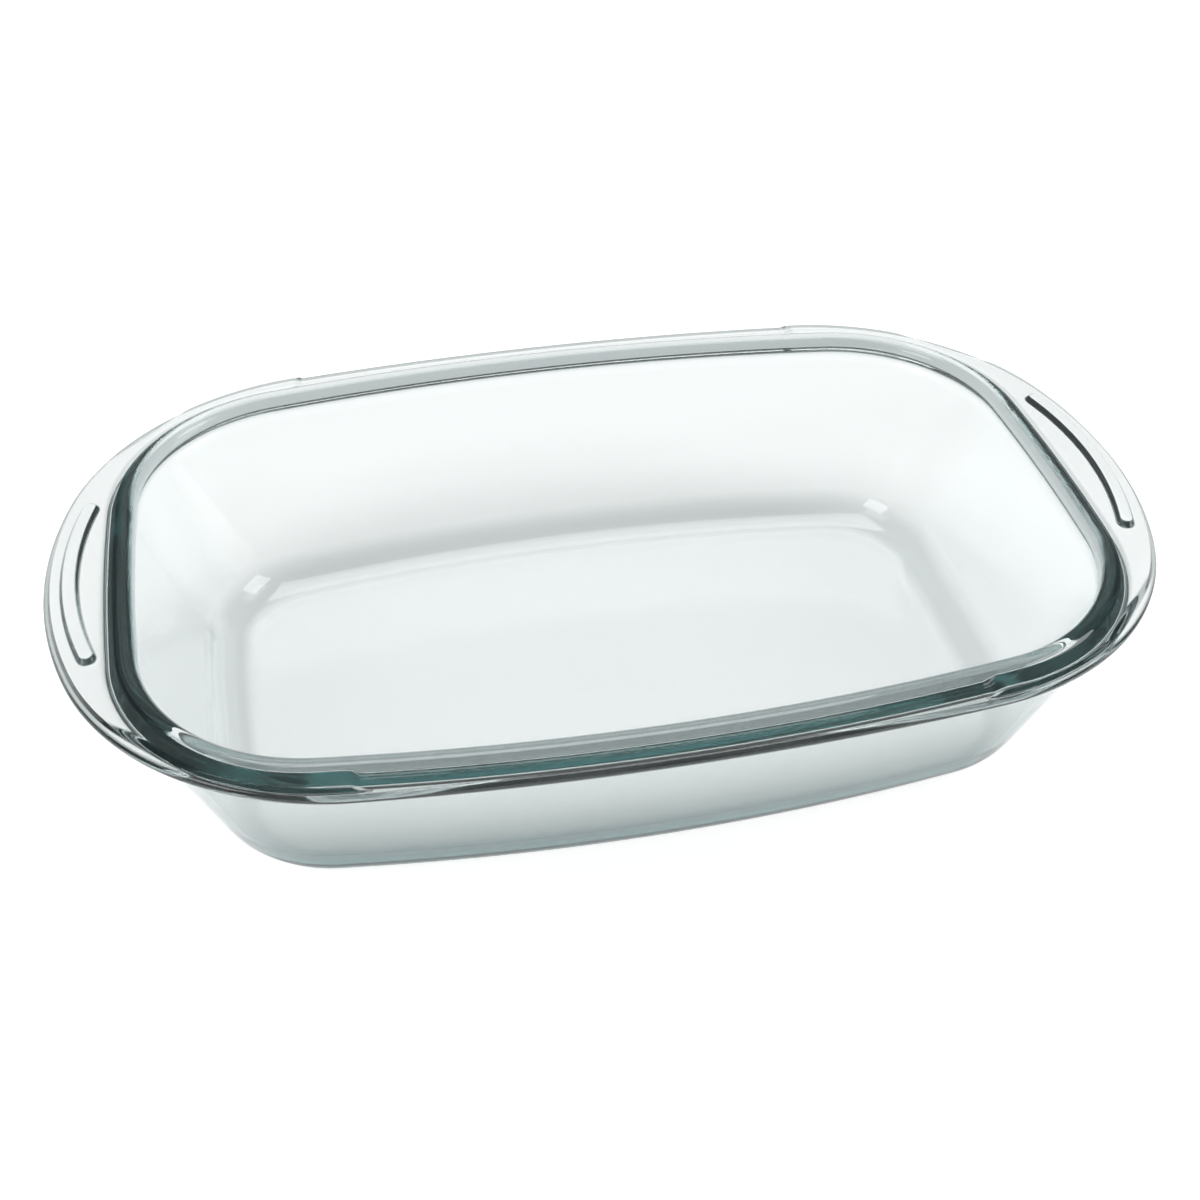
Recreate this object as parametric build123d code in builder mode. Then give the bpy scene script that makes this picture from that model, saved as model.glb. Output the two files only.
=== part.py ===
from build123d import *
from math import atan2, cos, hypot, radians, sin, sqrt, tan
import os

# Oblong glass baking dish with a bowed plan, a beaded rim and two crescent handles.
# Millimetres, +Z up. The origin is on the table, under the middle of the dish, and the
# long axis is X. Every horizontal section is an outline of eight tangent arcs: two long
# sides, two ends and four corners. An outline is given as
# (half length, half width, long side radius, end radius, corner radius), and growing all
# five by one amount gives the outline offset by that amount.

# Driving dimensions
overall_height = 71.5
mouth = (149.0, 96.0, 742.0, 785.0, 55.0)
flange_edge = (175.0, 109.0, 903.0, 138.0, 90.0)

# Wall and floor, as distances outside the mouth outline
floor_thickness = 5.5
floor_joint = -36.0
inner_wall_angle = 70.5
inner_fillet = 20.0
outer_wall_angle = 68.6
outer_wall_reach = 7.75
heel_radius = 15.0
under_flange_fillet = 4.0

# Rim bead
bead_radius = 3.5
bead_centre = 2.5
bead_foot = 6.6

# Flange, handle and grip levels
flange_top = overall_height - 2.6
flange_thickness = 3.4
flange_bottom = flange_top - flange_thickness
edge_round = 1.6
handle_start = 128.0

# Raised pad on each handle
pad_height = 1.4
pad_inset = 2.5
pad_corner_sum = 217.7
pad_root = 4.8

# Grip rib on each pad
rib_reach = 166.4
rib_arc_radius = 118.0
rib_half_angle = 17.8
rib_width = 5.6
rib_height = 1.1
rib_round = 0.8

pad_plane = Plane.XY.offset(flange_top)


def grown(outline, distance):
    """Outline offset outwards by a distance."""
    return tuple(value + distance for value in outline)


def corner_centre(outline):
    """Centre of the corner arc that is tangent to the long side arc and the end arc."""
    half_length, half_width, long_radius, end_radius, corner_radius = outline
    long_y = half_width - long_radius
    end_x = half_length - end_radius
    reach_long = long_radius - corner_radius
    reach_end = end_radius - corner_radius
    span = hypot(end_x, long_y)
    along = (reach_long**2 - reach_end**2 + span**2) / (2 * span)
    across = sqrt(reach_long**2 - along**2)
    ux = end_x / span
    uy = -long_y / span
    side = 1 if end_x > 0 else -1
    candidates = [
        (ux * along - side * uy * across, long_y + uy * along + side * ux * across),
        (ux * along + side * uy * across, long_y + uy * along - side * ux * across),
    ]
    return max(candidates, key=lambda point: min(point))


def outline_wire(outline):
    """Closed wire of eight tangent arcs."""
    half_length, half_width, long_radius, end_radius, corner_radius = outline
    cx, cy = corner_centre(outline)
    long_angle = atan2(cy - (half_width - long_radius), cx)
    end_angle = atan2(cy, cx - (half_length - end_radius))
    middle_angle = (long_angle + end_angle) / 2
    ax = cx + corner_radius * cos(end_angle)
    ay = cy + corner_radius * sin(end_angle)
    mx = cx + corner_radius * cos(middle_angle)
    my = cy + corner_radius * sin(middle_angle)
    bx = cx + corner_radius * cos(long_angle)
    by = cy + corner_radius * sin(long_angle)
    with BuildLine() as line:
        ThreePointArc((ax, -ay), (half_length, 0), (ax, ay))
        ThreePointArc((ax, ay), (mx, my), (bx, by))
        ThreePointArc((bx, by), (0, half_width), (-bx, by))
        ThreePointArc((-bx, by), (-mx, my), (-ax, ay))
        ThreePointArc((-ax, ay), (-half_length, 0), (-ax, -ay))
        ThreePointArc((-ax, -ay), (-mx, -my), (-bx, -by))
        ThreePointArc((-bx, -by), (0, -half_width), (bx, -by))
        ThreePointArc((bx, -by), (mx, -my), (ax, -ay))
    return line.wire()


def section_plane(rail):
    """Plane across the start of a rail, with local x pointing outwards and local y up."""
    along = rail % 0
    return Plane(origin=rail @ 0, x_dir=along.cross(Vector(0, 0, 1)), z_dir=-along)


path = outline_wire(mouth)

# Floor
with BuildPart() as basin_floor:
    with BuildSketch():
        make_face(outline_wire(grown(mouth, floor_joint)).edges())
    extrude(amount=floor_thickness)

# Wall: inner slope and fillet, outer slope, round heel and the fillet under the flange
inner_run = (flange_bottom - floor_thickness) / tan(radians(inner_wall_angle))
outer_run = flange_bottom / tan(radians(outer_wall_angle))
inner_corner = (-inner_run, floor_thickness)
heel_corner = (outer_wall_reach - outer_run, 0)
slope_x = cos(radians(outer_wall_angle))
slope_z = sin(radians(outer_wall_angle))
root_length = under_flange_fillet * tan(radians(outer_wall_angle / 2))
root_start = (outer_wall_reach - root_length * slope_x, flange_bottom - root_length * slope_z)
root_end = (outer_wall_reach + root_length, flange_bottom)


def wall_along(rail):
    """Wall swept along one arc of the mouth outline."""
    with BuildPart() as wall:
        with BuildSketch(section_plane(rail)) as section:
            with BuildLine():
                Polyline(
                    root_end,
                    (0, flange_bottom),
                    inner_corner,
                    (floor_joint, floor_thickness),
                    (floor_joint, 0),
                    heel_corner,
                    root_start,
                )
                TangentArc(root_start, root_end, tangent=(slope_x, slope_z))
            make_face()
            fillet(section.vertices().sort_by_distance(inner_corner)[0], radius=inner_fillet)
            fillet(section.vertices().sort_by_distance(heel_corner)[0], radius=heel_radius)
        sweep(path=rail)
    return wall


# One side or corner of the wall on each arc, anticlockwise from the right end
wall_names = (
    "wall_right",
    "corner_back_right",
    "wall_back",
    "corner_back_left",
    "wall_left",
    "corner_front_left",
    "wall_front",
    "corner_front_right",
)
walls = {name: wall_along(rail) for name, rail in zip(wall_names, path.edges())}

# Rim bead: a round bar that stands 1 mm into the mouth, on a foot level with the flange
bead_axis = overall_height - bead_radius
inner_foot = bead_centre - sqrt(bead_radius**2 - (bead_axis - flange_bottom) ** 2)
outer_foot = bead_centre + sqrt(bead_radius**2 - (flange_top - bead_axis) ** 2)
with BuildPart() as rim_bead:
    with BuildSketch(section_plane(path)):
        with BuildLine():
            ThreePointArc(
                (inner_foot, flange_bottom),
                (bead_centre, overall_height),
                (outer_foot, flange_top),
            )
            Polyline(
                (outer_foot, flange_top),
                (bead_foot, flange_top),
                (bead_foot, flange_bottom),
                (inner_foot, flange_bottom),
            )
        make_face()
    sweep(path=path)

# Flange ring with a rounded outer edge, then cut into two side flanges and two handles
with BuildPart() as flange_ring:
    with BuildSketch(Plane.XY.offset(flange_bottom)):
        make_face(outline_wire(flange_edge).edges())
        make_face(outline_wire(grown(mouth, bead_foot)).edges(), mode=Mode.SUBTRACT)
    extrude(amount=flange_thickness)
    top_edges = flange_ring.faces().sort_by(Axis.Z)[-1].outer_wire().edges()
    bottom_edges = flange_ring.faces().sort_by(Axis.Z)[0].outer_wire().edges()
    fillet(top_edges + bottom_edges, radius=edge_round)

with BuildPart() as handle_right:
    add(flange_ring.part)
    split(bisect_by=Plane.YZ.offset(handle_start), keep=Keep.TOP)

with BuildPart() as handle_left:
    add(handle_right.part.mirror(Plane.YZ))

with BuildPart() as flange_back:
    add(flange_ring.part)
    split(bisect_by=Plane.YZ.offset(handle_start), keep=Keep.BOTTOM)
    split(bisect_by=Plane.YZ.offset(-handle_start), keep=Keep.TOP)
    split(bisect_by=Plane.XZ, keep=Keep.BOTTOM)

with BuildPart() as flange_front:
    add(flange_back.part.mirror(Plane.XZ))

# Raised pad on each handle. It stops along a line across each corner.
with BuildPart() as handle_pad_right:
    with BuildSketch(pad_plane):
        make_face(outline_wire(grown(flange_edge, -pad_inset)).edges())
        make_face(outline_wire(grown(mouth, pad_root)).edges(), mode=Mode.SUBTRACT)
        with BuildLine():
            Polyline(
                (handle_start, pad_corner_sum - handle_start),
                (pad_corner_sum, 0),
                (handle_start, handle_start - pad_corner_sum),
                close=True,
            )
        make_face(mode=Mode.INTERSECT)
    extrude(amount=pad_height)
    add(rim_bead.part, mode=Mode.SUBTRACT)

with BuildPart() as handle_pad_left:
    add(handle_pad_right.part.mirror(Plane.YZ))

# Grip rib on each pad
rib_centre = rib_reach - rib_arc_radius
with BuildPart() as grip_rib_right:
    with BuildSketch(pad_plane.offset(pad_height)):
        with BuildLine() as rib_line:
            CenterArc((rib_centre, 0), rib_arc_radius, -rib_half_angle, 2 * rib_half_angle)
        SlotArc(rib_line.edge(), rib_width)
    extrude(amount=rib_height)
    fillet(grip_rib_right.faces().sort_by(Axis.Z)[-1].edges(), radius=rib_round)

with BuildPart() as grip_rib_left:
    add(grip_rib_right.part.mirror(Plane.YZ))

pieces = {
    "basin_floor": basin_floor,
    **walls,
    "rim_bead": rim_bead,
    "flange_front": flange_front,
    "flange_back": flange_back,
    "handle_left": handle_left,
    "handle_right": handle_right,
    "handle_pad_left": handle_pad_left,
    "handle_pad_right": handle_pad_right,
    "grip_rib_left": grip_rib_left,
    "grip_rib_right": grip_rib_right,
}

os.makedirs("parts", exist_ok=True)
for name, piece in pieces.items():
    piece.part.label = name
    export_step(piece.part, f"parts/{name}.step")
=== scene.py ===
import math

import bpy
import numpy as np
from mathutils import Matrix, Vector


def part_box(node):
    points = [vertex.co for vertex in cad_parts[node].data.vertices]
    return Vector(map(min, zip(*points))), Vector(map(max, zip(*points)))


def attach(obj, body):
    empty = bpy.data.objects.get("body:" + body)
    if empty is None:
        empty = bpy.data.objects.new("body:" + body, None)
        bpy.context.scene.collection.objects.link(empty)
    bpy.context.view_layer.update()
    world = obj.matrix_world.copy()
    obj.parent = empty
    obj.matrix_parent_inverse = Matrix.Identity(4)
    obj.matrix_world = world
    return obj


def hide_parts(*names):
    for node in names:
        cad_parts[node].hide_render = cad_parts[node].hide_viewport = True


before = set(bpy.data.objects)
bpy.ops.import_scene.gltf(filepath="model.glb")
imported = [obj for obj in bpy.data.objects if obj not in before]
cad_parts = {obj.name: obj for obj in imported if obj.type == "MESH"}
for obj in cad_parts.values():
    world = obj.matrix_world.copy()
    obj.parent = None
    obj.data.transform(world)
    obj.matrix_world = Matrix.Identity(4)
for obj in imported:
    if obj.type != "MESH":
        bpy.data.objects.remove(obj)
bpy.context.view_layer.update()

MM = 0.001

# Plan outlines as (half length, half width, long side radius, end radius, corner radius)
MOUTH = np.array([149.0, 96.0, 742.0, 785.0, 55.0])
FLANGE = np.array([175.0, 109.0, 903.0, 138.0, 90.0])

# Heights in millimetres, from the frame
RIM_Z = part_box("rim_bead")[1].z / MM
FLANGE_TOP_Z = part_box("flange_front")[1].z / MM
FLANGE_BOTTOM_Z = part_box("flange_front")[0].z / MM
PAD_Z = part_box("handle_pad_left")[1].z / MM
RIB_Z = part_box("grip_rib_left")[1].z / MM
FLOOR_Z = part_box("basin_floor")[1].z / MM

# Wall section, as distances outside the mouth outline
CAP_REACH = -37.0
INNER_ANGLE = math.radians(70.5)
INNER_FILLET = 19.0
OUTER_ANGLE = math.radians(68.6)
OUTER_REACH = 7.75
HEEL_RADIUS = 18.0
ROOT_FILLET = 4.0

# Bead section: a round bar, with a fillet on the flange side
BEAD_RADIUS = 3.5
BEAD_CENTRE = (2.5, RIM_Z - BEAD_RADIUS)
BEAD_FILLET = 2.5
BEAD_START = 238.0
BLEND_START = BEAD_CENTRE[0] + 0.5

# Flange, pad and rib
EDGE_ROUND = 1.7
PAD_INSET = 2.5
PAD_SLOPE = 1.1
PAD_CORNER_SUM = 217.7
PAD_INNER_X = 90.0
CORNER_SLOPE = 3.0
RIB_REACH = 166.8
RIB_ARC = 118.0
RIB_HALF_ANGLE = math.radians(17.8)
RIB_HALF_WIDTH = 2.95
RIB_SIDE = 1.15
RIB_EXTRA = 0.6
RIB_RISE = RIB_Z - PAD_Z + RIB_EXTRA

# Rings across the flange's top, and columns on a quarter of the mouth outline
TOP_ROWS = 70
COLUMNS = {"on_end": 54, "on_corner": 100, "on_long": 50}

# Stage and camera, in metres and degrees
FLOOR_HALF_SIZE = 1.6
FLOOR_DROP = 0.0002
CAMERA_LENS = 49.9
CAMERA_PLACE = (-0.0953, -0.4128, 0.3199 + RIM_Z * MM)
CAMERA_TURN = -12.69
CAMERA_TILT = 49.96
CAMERA_ROLL = 0.69


def smooth(value):
    """Smooth step from 0 to 1."""
    t = np.clip(value, 0.0, 1.0)
    return t * t * (3.0 - 2.0 * t)


def arc_centres(outline):
    """Centres of the long side arc, the end arc and the corner arc in the +X +Y quarter."""
    half_length, half_width, long_radius, end_radius, corner_radius = outline
    long_centre = np.array([0.0, half_width - long_radius])
    end_centre = np.array([half_length - end_radius, 0.0])
    reach_long = long_radius - corner_radius
    reach_end = end_radius - corner_radius
    gap = end_centre - long_centre
    span = np.hypot(*gap)
    unit = gap / span
    along = (reach_long**2 - reach_end**2 + span**2) / (2.0 * span)
    across = math.sqrt(reach_long**2 - along**2)
    normal = np.array([-unit[1], unit[0]])
    choices = [long_centre + unit * along + normal * across * side for side in (1.0, -1.0)]
    return long_centre, end_centre, max(choices, key=lambda point: point.min())


def arc_angles(outline):
    """Angles where the end arc meets the corner arc and where that meets the long side."""
    long_centre, end_centre, corner = arc_centres(outline)
    end_angle = math.atan2(*(corner - end_centre)[::-1])
    long_angle = math.atan2(*(corner - long_centre)[::-1])
    return end_angle, long_angle


def outside_distance(outline, x, y):
    """Signed distance of points outside an outline."""
    long_centre, end_centre, corner = arc_centres(outline)
    end_angle, long_angle = arc_angles(outline)
    x, y = np.abs(x), np.abs(y)
    from_corner = np.hypot(x - corner[0], y - corner[1]) - outline[4]
    from_long = np.hypot(x - long_centre[0], y - long_centre[1]) - outline[2]
    from_end = np.hypot(x - end_centre[0], y - end_centre[1]) - outline[3]
    in_long = np.arctan2(y - long_centre[1], x - long_centre[0]) > long_angle
    in_end = np.arctan2(y - end_centre[1], x - end_centre[0]) < end_angle
    return np.where(in_long, from_long, np.where(in_end, from_end, from_corner))


def columns(outline, on_end, on_corner, on_long):
    """Points on an outline and their outward directions, once round anticlockwise."""
    long_centre, end_centre, corner = arc_centres(outline)
    end_angle, long_angle = arc_angles(outline)
    spans = [
        (end_centre, outline[3], 0.0, end_angle, on_end),
        (corner, outline[4], end_angle, long_angle, on_corner),
        (long_centre, outline[2], long_angle, math.pi / 2, on_long),
    ]
    points, directions = [], []
    for centre, radius, first, last, count in spans:
        angles = np.linspace(first, last, count, endpoint=False)
        unit = np.stack([np.cos(angles), np.sin(angles)], 1)
        points.append(centre + radius * unit)
        directions.append(unit)
    top = np.array([[0.0, outline[1]]])
    quarter = np.vstack(points + [top])
    quarter_unit = np.vstack(directions + [np.array([[0.0, 1.0]])])
    flip_x = np.array([-1.0, 1.0])
    half = np.vstack([quarter, (quarter * flip_x)[-2::-1]])
    half_unit = np.vstack([quarter_unit, (quarter_unit * flip_x)[-2::-1]])
    return (
        np.vstack([half, -half[1:-1]]),
        np.vstack([half_unit, -half_unit[1:-1]]),
    )


def flange_reach(points, directions):
    """Distance from each mouth point, along its direction, to the flange's outline."""
    reach = np.full(len(points), 10.0)
    for _ in range(60):
        here = points + directions * reach[:, None]
        reach = reach - outside_distance(FLANGE, here[:, 0], here[:, 1])
    return reach


def arc(centre, radius, first, last, count):
    """Points of an arc as (distance, height) pairs; angles in degrees, 0 outwards, 90 up."""
    angles = np.radians(np.linspace(first, last, count))
    return [(centre[0] + radius * math.cos(a), centre[1] + radius * math.sin(a)) for a in angles]


def straight(first, last, count):
    """Points between two points, without the ends."""
    steps = np.linspace(0.0, 1.0, count + 2)[1:-1]
    return [tuple(np.array(first) * (1 - s) + np.array(last) * s) for s in steps]


def bend(before, corner, after, radius, count):
    """Round corner between two straight runs, as points of its arc."""
    before, corner, after = (np.array(p, float) for p in (before, corner, after))
    u = (before - corner) / np.linalg.norm(before - corner)
    v = (after - corner) / np.linalg.norm(after - corner)
    half = math.acos(np.clip(u @ v, -1.0, 1.0)) / 2.0
    middle = (u + v) / np.linalg.norm(u + v)
    centre = corner + middle * radius / math.sin(half)
    first = corner + u * radius / math.tan(half) - centre
    last = corner + v * radius / math.tan(half) - centre
    start = math.atan2(first[1], first[0])
    turn = math.atan2(first[0] * last[1] - first[1] * last[0], first @ last)
    angles = start + turn * np.linspace(0.0, 1.0, count)
    return [(centre[0] + radius * math.cos(a), centre[1] + radius * math.sin(a)) for a in angles]


def inner_section():
    """Section from the middle of the floor, up the inner wall and over the bead."""
    run = (FLANGE_BOTTOM_Z - FLOOR_Z) / math.tan(INNER_ANGLE)
    corner = (-run, FLOOR_Z)
    cap = (CAP_REACH, FLOOR_Z)
    rise = FLANGE_TOP_Z + BEAD_FILLET - BEAD_CENTRE[1]
    across = math.sqrt((BEAD_RADIUS + BEAD_FILLET) ** 2 - rise**2)
    bead_end = math.degrees(math.atan2(rise, across))
    bead = arc(BEAD_CENTRE, BEAD_RADIUS, BEAD_START, bead_end, 30)
    fillet = bend(cap, corner, bead[0], INNER_FILLET, 18)
    root_centre = (BEAD_CENTRE[0] + across, BEAD_CENTRE[1] + rise)
    root = arc(root_centre, BEAD_FILLET, bead_end + 180.0, 270.0, 12)
    return [cap] + fillet + straight(fillet[-1], bead[0], 12) + bead + root[1:]


def outer_section():
    """Section from the fillet under the flange, down the outer wall to the base."""
    root = (OUTER_REACH, FLANGE_BOTTOM_Z)
    run = FLANGE_BOTTOM_Z / math.tan(OUTER_ANGLE)
    heel = (OUTER_REACH - run, 0.0)
    under = (OUTER_REACH + 20.0, FLANGE_BOTTOM_Z)
    fillet = bend(under, root, heel, ROOT_FILLET, 9)
    round_heel = bend(root, heel, (CAP_REACH, 0.0), HEEL_RADIUS, 18)
    return fillet + straight(fillet[-1], round_heel[0], 6) + round_heel + [(CAP_REACH, 0.0)]


def top_height(x, y):
    """Height of the flange's upper side: flange, raised pad and grip rib."""
    inside = -outside_distance(FLANGE, x, y)
    edge = smooth((inside - PAD_INSET) / PAD_SLOPE + 1.0)
    corner = smooth((PAD_CORNER_SUM - np.abs(x) - np.abs(y)) / math.sqrt(2.0) / CORNER_SLOPE + 1.0)
    pad = edge * corner * (np.abs(x) > PAD_INNER_X)
    from_centre = np.stack([np.abs(x) - (RIB_REACH - RIB_ARC), np.abs(y)], -1)
    angle = np.arctan2(from_centre[..., 1], from_centre[..., 0])
    end = np.array([math.cos(RIB_HALF_ANGLE), math.sin(RIB_HALF_ANGLE)]) * RIB_ARC
    along = np.abs(np.hypot(from_centre[..., 0], from_centre[..., 1]) - RIB_ARC)
    beyond = np.hypot(from_centre[..., 0] - end[0], from_centre[..., 1] - end[1])
    distance = np.where(angle < RIB_HALF_ANGLE, along, beyond)
    side = np.clip((RIB_HALF_WIDTH - distance) / RIB_SIDE, 0.0, 1.0)
    rib = 0.7 * side + 0.3 * smooth(side)
    return FLANGE_TOP_Z + (PAD_Z - FLANGE_TOP_Z) * pad + RIB_RISE * rib


def blend_up(height, level, radius=0.5):
    """The higher of two heights, with a small fillet where they cross."""
    gap = np.abs(height - level)
    return np.maximum(height, level) + 0.25 * np.clip(radius - gap, 0.0, None) ** 2 / radius


def glass_rows(points, directions):
    """Every ring of the dish as arrays of points, from the floor over the rim to the base."""
    rings = []

    def ring(reach, height):
        plan = points + directions * np.asarray(reach)[..., None]
        rings.append(np.column_stack([plan, np.broadcast_to(height, len(points))]))

    def on_top(reach):
        plan = points + directions * reach[:, None]
        ring(reach, top_height(plan[:, 0], plan[:, 1]))

    inner = inner_section()
    plan = points + directions * inner[-1][0]
    level = top_height(plan[:, 0], plan[:, 1])
    for reach, height in inner:
        raised = blend_up(height, level) if reach > BLEND_START else height
        ring(np.full(len(points), reach), raised)
    start = inner[-1][0]
    outer = flange_reach(points, directions)
    stop = outer - EDGE_ROUND
    for share in np.linspace(0.0, 1.0, TOP_ROWS + 1)[1:]:
        eased = share * (1.6 - 0.6 * share)
        on_top(start + (stop - start) * eased)
    middle = (FLANGE_TOP_Z + FLANGE_BOTTOM_Z) / 2.0
    half = (FLANGE_TOP_Z - FLANGE_BOTTOM_Z) / 2.0
    for angle in np.linspace(0.0, math.pi, 15)[1:]:
        ring(stop + EDGE_ROUND * math.sin(angle), middle + half * math.cos(angle))
    outer_points = outer_section()
    under = outer_points[0][0]
    for share in np.linspace(0.0, 1.0, 8)[1:-1]:
        ring(stop + (under - stop) * share, FLANGE_BOTTOM_Z)
    for reach, height in outer_points:
        ring(np.full(len(points), reach), height)
    return rings


def glass_dish():
    """The whole pressing as one closed mesh."""
    points, directions = columns(MOUTH, **COLUMNS)
    rings = glass_rows(points, directions)
    count = len(points)
    vertices = (np.vstack(rings) * MM).tolist()
    following = np.roll(np.arange(count), -1)
    faces = []
    for row in range(len(rings) - 1):
        base = row * count
        faces += [
            (base + i, base + count + i, base + count + following[i], base + following[i])
            for i in range(count)
        ]
    last = (len(rings) - 1) * count
    faces.append(tuple(range(count)))
    faces.append(tuple(last + i for i in reversed(range(count))))
    mesh = bpy.data.meshes.new("glass_dish")
    mesh.from_pydata(vertices, [], [tuple(int(i) for i in face) for face in faces])
    mesh.update()
    for polygon in mesh.polygons:
        polygon.use_smooth = True
    dish = bpy.data.objects.new("glass_dish", mesh)
    bpy.context.scene.collection.objects.link(dish)
    return dish


def split_z(nodes, links, source):
    """Z component of a vector output."""
    parts = nodes.new("ShaderNodeSeparateXYZ")
    links.new(source, parts.inputs["Vector"])
    return parts.outputs["Z"]


def mapped(nodes, links, source, low, high, at_low, at_high):
    """Smoothly remapped value output."""
    node = nodes.new("ShaderNodeMapRange")
    node.interpolation_type = "SMOOTHSTEP"
    node.inputs["From Min"].default_value = low
    node.inputs["From Max"].default_value = high
    node.inputs["To Min"].default_value = at_low
    node.inputs["To Max"].default_value = at_high
    links.new(source, node.inputs["Value"])
    return node.outputs["Result"]


def combined(nodes, links, operation, first, second=None):
    """Result of a math operation on one or two outputs."""
    node = nodes.new("ShaderNodeMath")
    node.operation = operation
    links.new(first, node.inputs[0])
    if second is not None:
        links.new(second, node.inputs[1])
    return node.outputs["Value"]


def mixed(nodes, links, factor, first, second):
    """Colour output between two colours, or from an output to a colour."""
    node = nodes.new("ShaderNodeMix")
    node.data_type = "RGBA"
    links.new(factor, node.inputs["Factor"])
    if isinstance(first, tuple):
        node.inputs["A"].default_value = (*first, 1.0)
    else:
        links.new(first, node.inputs["A"])
    node.inputs["B"].default_value = (*second, 1.0)
    return node.outputs["Result"]


def set_surface(nodes, links, shader, place):
    """Faint haze in the roughness and slight waves in the surface."""
    haze = nodes.new("ShaderNodeTexNoise")
    haze.inputs["Scale"].default_value = 9.0
    haze.inputs["Detail"].default_value = 3.0
    spread = nodes.new("ShaderNodeMapRange")
    spread.inputs["From Min"].default_value = 0.35
    spread.inputs["From Max"].default_value = 0.75
    spread.inputs["To Min"].default_value = 0.0
    spread.inputs["To Max"].default_value = 0.03
    waves = nodes.new("ShaderNodeTexNoise")
    waves.inputs["Scale"].default_value = 34.0
    waves.inputs["Detail"].default_value = 1.0
    bump = nodes.new("ShaderNodeBump")
    bump.inputs["Strength"].default_value = 0.12
    bump.inputs["Distance"].default_value = 0.0004
    links.new(place.outputs["Object"], haze.inputs["Vector"])
    links.new(haze.outputs["Fac"], spread.inputs["Value"])
    links.new(spread.outputs["Result"], shader.inputs["Roughness"])
    links.new(place.outputs["Object"], waves.inputs["Vector"])
    links.new(waves.outputs["Fac"], bump.inputs["Height"])
    links.new(bump.outputs["Normal"], shader.inputs["Normal"])


def set_colour_and_painted_shade(nodes, links, shader, place):
    """Glass tint with painted shade: darker at the heel, in the inner fillet, at the rim and at
    edges.
    """
    height = split_z(nodes, links, place.outputs["Object"])
    surface = nodes.new("ShaderNodeNewGeometry")
    side = mapped(nodes, links, surface.outputs["Backfacing"], 0.0, 1.0, 1.0, -1.0)
    up = split_z(nodes, links, surface.outputs["Normal"])
    lean = combined(nodes, links, "MULTIPLY", up, side)
    weight = nodes.new("ShaderNodeLayerWeight")
    weight.inputs["Blend"].default_value = 0.5
    facing = weight.outputs["Facing"]

    # Outer wall: painted shade, darker towards the heel where it is seen at a slant
    outside = mapped(nodes, links, lean, -0.34, -0.20, 1.0, 0.0)
    not_base = mapped(nodes, links, lean, -0.985, -0.80, 0.0, 1.0)
    foot = mapped(nodes, links, height, 0.010, 0.068, 1.0, 0.0)
    slant = mapped(nodes, links, facing, 0.24, 0.42, 0.0, 1.0)
    heel = combined(nodes, links, "MULTIPLY", outside, not_base)
    heel = combined(nodes, links, "MULTIPLY", heel, foot)
    heel = combined(nodes, links, "MULTIPLY", heel, slant)

    # Inner fillet around the floor: painted shade in the crease
    turning = mapped(nodes, links, lean, 0.40, 0.80, 0.0, 0.34)
    not_floor = mapped(nodes, links, lean, 0.90, 0.995, 1.0, 0.0)
    low = mapped(nodes, links, height, 0.018, 0.024, 1.0, 0.0)
    fillet = combined(nodes, links, "MULTIPLY", turning, not_floor)
    fillet = combined(nodes, links, "MULTIPLY", fillet, low)

    # Bead and flange, apart from their flat faces: painted shade on the rim
    upright = combined(nodes, links, "ABSOLUTE", lean)
    not_flat = mapped(nodes, links, upright, 0.86, 0.985, 1.0, 0.0)
    rim_painted_shade = mapped(nodes, links, height, 0.0635, 0.066, 0.0, 0.62)
    rim_painted_shade = combined(nodes, links, "MULTIPLY", rim_painted_shade, not_flat)

    # Painted shade: the heel, fillet and rim masks together
    painted_shade = combined(nodes, links, "MAXIMUM", heel, fillet)
    painted_shade = combined(nodes, links, "MAXIMUM", painted_shade, rim_painted_shade)
    # Glass body colour, darkened to near-black teal where the painted shade is strong
    body = mixed(nodes, links, painted_shade, (0.880, 0.894, 0.890), (0.015, 0.06, 0.065))
    # Painted shade: darker grey-green at edges seen at a slant
    edge = combined(nodes, links, "POWER", facing)
    edge.node.inputs[1].default_value = 6.0
    colour_with_painted_shade = mixed(nodes, links, edge, body, (0.24, 0.38, 0.39))
    links.new(colour_with_painted_shade, shader.inputs["Base Color"])


def clear_glass():
    """Pressed glass: clear, with a faint grey-green body colour, painted shade at the heel, inner
    fillet, rim and edges, and slight surface waves.
    """
    material = bpy.data.materials.new("clear_glass")
    material.use_nodes = True
    nodes, links = material.node_tree.nodes, material.node_tree.links
    shader = nodes["Principled BSDF"]
    shader.inputs["Transmission Weight"].default_value = 0.965
    shader.inputs["IOR"].default_value = 1.5
    place = nodes.new("ShaderNodeTexCoord")
    set_surface(nodes, links, shader, place)
    set_colour_and_painted_shade(nodes, links, shader, place)
    absorb = nodes.new("ShaderNodeVolumeAbsorption")
    absorb.inputs["Color"].default_value = (0.05, 0.45, 0.45, 1.0)
    absorb.inputs["Density"].default_value = 9.0
    links.new(absorb.outputs["Volume"], nodes["Material Output"].inputs["Volume"])
    return material


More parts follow.
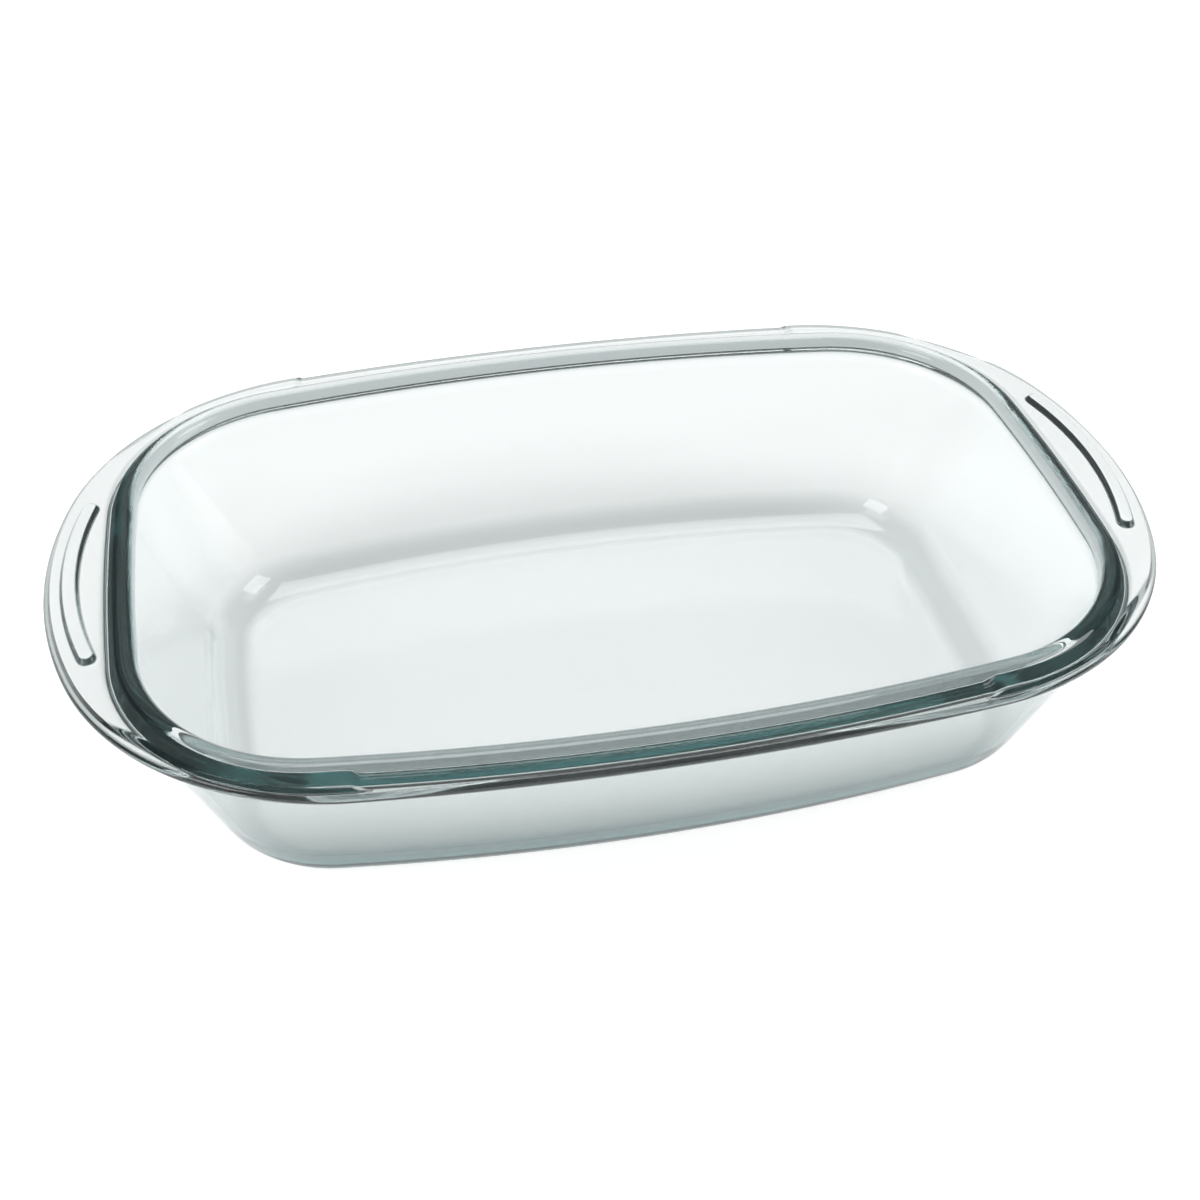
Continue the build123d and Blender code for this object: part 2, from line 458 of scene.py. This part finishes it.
def floor():
    """Plain white floor that gives off light of its own."""
    mesh = bpy.data.meshes.new("floor")
    size = FLOOR_HALF_SIZE
    mesh.from_pydata(
        [(-size, -size, 0.0), (size, -size, 0.0), (size, size, 0.0), (-size, size, 0.0)],
        [],
        [(0, 1, 2, 3)],
    )
    plane = bpy.data.objects.new("floor", mesh)
    plane.location.z = -FLOOR_DROP
    bpy.context.scene.collection.objects.link(plane)
    material = bpy.data.materials.new("white_floor")
    material.use_nodes = True
    shader = material.node_tree.nodes["Principled BSDF"]
    shader.inputs["Base Color"].default_value = (0.7, 0.7, 0.7, 1.0)
    shader.inputs["Emission Color"].default_value = (1.0, 1.0, 1.0, 1.0)
    shader.inputs["Emission Strength"].default_value = 0.78
    shader.inputs["Roughness"].default_value = 0.9
    shader.inputs["Specular IOR Level"].default_value = 0.1
    mesh.materials.append(material)
    return plane


def area_light(name, place, target, width, depth, power):
    """Soft rectangular light aimed at a point."""
    data = bpy.data.lights.new(name, "AREA")
    data.shape = "RECTANGLE"
    data.size = width
    data.size_y = depth
    data.energy = power
    lamp = bpy.data.objects.new(name, data)
    lamp.location = place
    aim = Vector(target) - Vector(place)
    lamp.rotation_euler = aim.to_track_quat("-Z", "Y").to_euler()
    bpy.context.scene.collection.objects.link(lamp)
    return lamp


def studio():
    """Soft light from above, with a dim room at the sides."""
    world = bpy.data.worlds.new("studio")
    world.use_nodes = True
    background = world.node_tree.nodes["Background"]
    background.inputs["Color"].default_value = (1.0, 1.0, 1.0, 1.0)
    background.inputs["Strength"].default_value = 0.1
    bpy.context.scene.world = world
    area_light("overhead", (0.0, 0.1, 1.5), (0.0, 0.0, 0.0), 1.2, 0.8, 9.0)
    area_light("window_left", (-1.1, -0.5, 1.0), (0.0, 0.0, 0.05), 0.6, 0.6, 5.0)
    area_light("window_right", (1.1, -0.3, 0.9), (0.0, 0.0, 0.05), 0.6, 0.6, 5.0)


def camera():
    """Camera above the front left, looking down along the dish."""
    data = bpy.data.cameras.new("camera")
    data.lens = CAMERA_LENS
    data.sensor_width = 36.0
    data.clip_start = 0.01
    eye = bpy.data.objects.new("camera", data)
    turn = Matrix.Rotation(math.radians(CAMERA_TURN), 4, "Z")
    tilt = Matrix.Rotation(math.radians(CAMERA_TILT), 4, "X")
    roll = Matrix.Rotation(math.radians(CAMERA_ROLL), 4, "Z")
    eye.matrix_world = Matrix.Translation(CAMERA_PLACE) @ turn @ tilt @ roll
    bpy.context.scene.collection.objects.link(eye)
    bpy.context.scene.camera = eye


dish = glass_dish()
dish.data.materials.append(clear_glass())
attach(dish, "root")
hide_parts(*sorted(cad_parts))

floor()
studio()
camera()
bpy.context.scene.view_settings.view_transform = "Standard"
bpy.context.scene.cycles.max_bounces = 40
bpy.context.scene.cycles.glossy_bounces = 32
bpy.context.scene.cycles.transmission_bounces = 32
